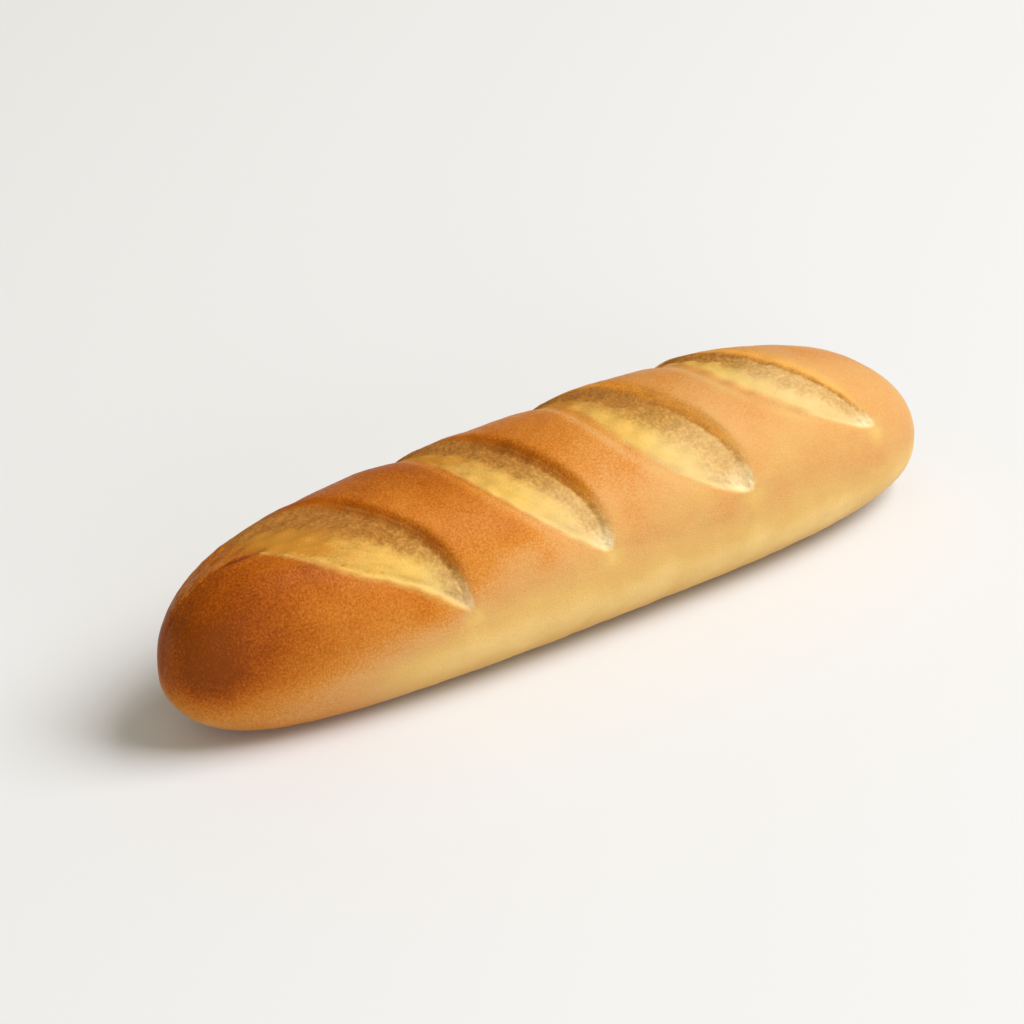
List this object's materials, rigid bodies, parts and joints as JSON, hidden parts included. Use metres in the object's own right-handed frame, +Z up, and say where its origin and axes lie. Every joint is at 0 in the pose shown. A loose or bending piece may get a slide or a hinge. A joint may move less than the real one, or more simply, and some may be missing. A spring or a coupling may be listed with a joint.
{
  "type": "baguette",
  "caption": "Short golden baguette with a satin brown crust and wide diagonal slashes that show torn pale crumb, lying on its flat base.",
  "frame": {"origin": "middle of the flat base, under the centre of the loaf's box", "axes": "+X along the loaf from the end with the long slash to the other end, +Z up, the slashes' low tips on the -Y side"},
  "size_m": [0.28, 0.07, 0.0616],
  "materials": {
    "crust": "baked bread crust, satin, orange brown on the crown and the near end and pale gold on the sides, with matt cream and yellow crumb in the slashes"
  },
  "bodies": {
    "root": {"baguette": "crust"}
  },
  "joints": []
}
